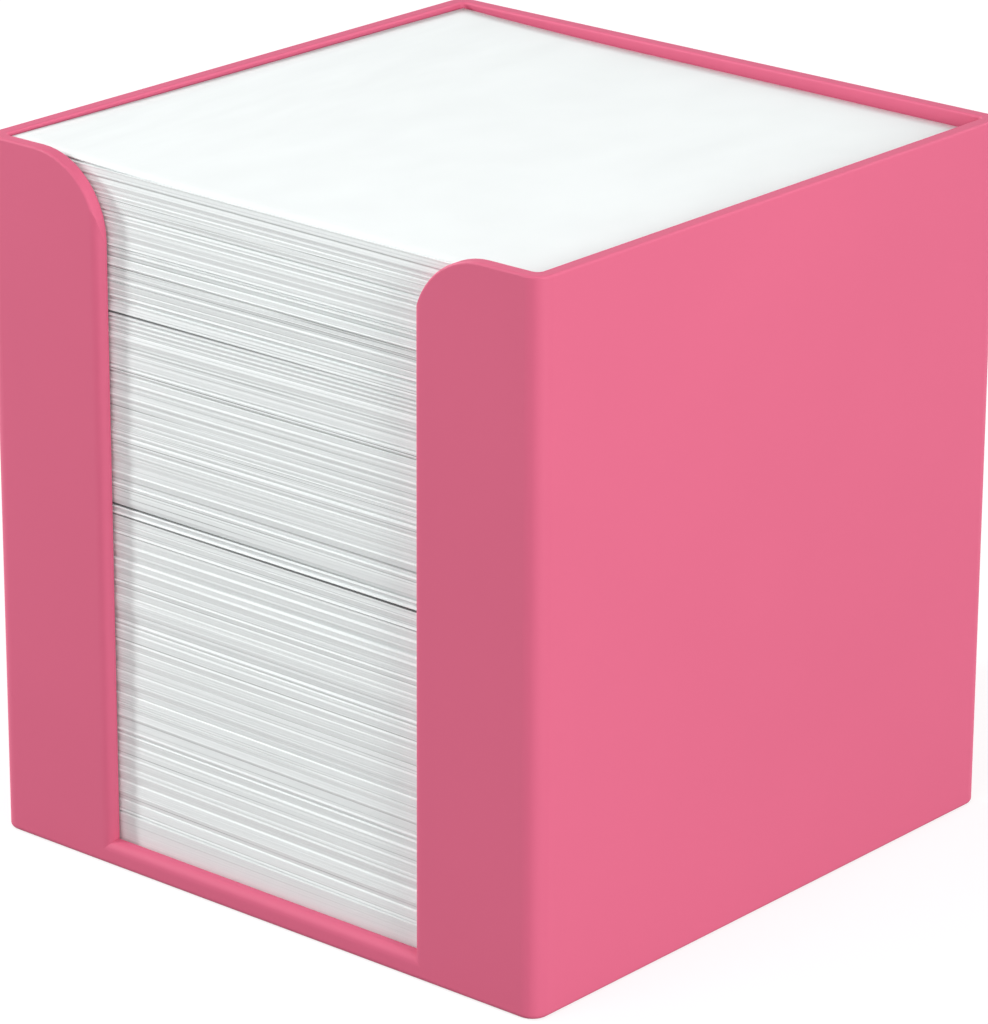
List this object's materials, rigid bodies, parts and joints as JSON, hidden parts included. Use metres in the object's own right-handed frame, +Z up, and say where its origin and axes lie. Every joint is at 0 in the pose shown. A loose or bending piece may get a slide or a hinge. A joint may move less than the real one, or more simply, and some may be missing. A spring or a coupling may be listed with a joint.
{
  "type": "memo box",
  "caption": "Open-topped cube holder moulded in pink plastic, with a finger window in the front wall, filled with a stack of loose square note sheets.",
  "frame": {"origin": "middle of the underside, on the surface that the box stands on", "axes": "+Z up, the wall with the finger window faces -Y, +X to the right seen from the window side"},
  "size_m": [0.095, 0.095, 0.098],
  "materials": {
    "holder_plastic": "satin pink moulded plastic",
    "paper": "uncoated white writing paper with cut edges"
  },
  "bodies": {
    "root": {"holder": "holder_plastic", "note_sheets": "paper"}
  },
  "joints": []
}
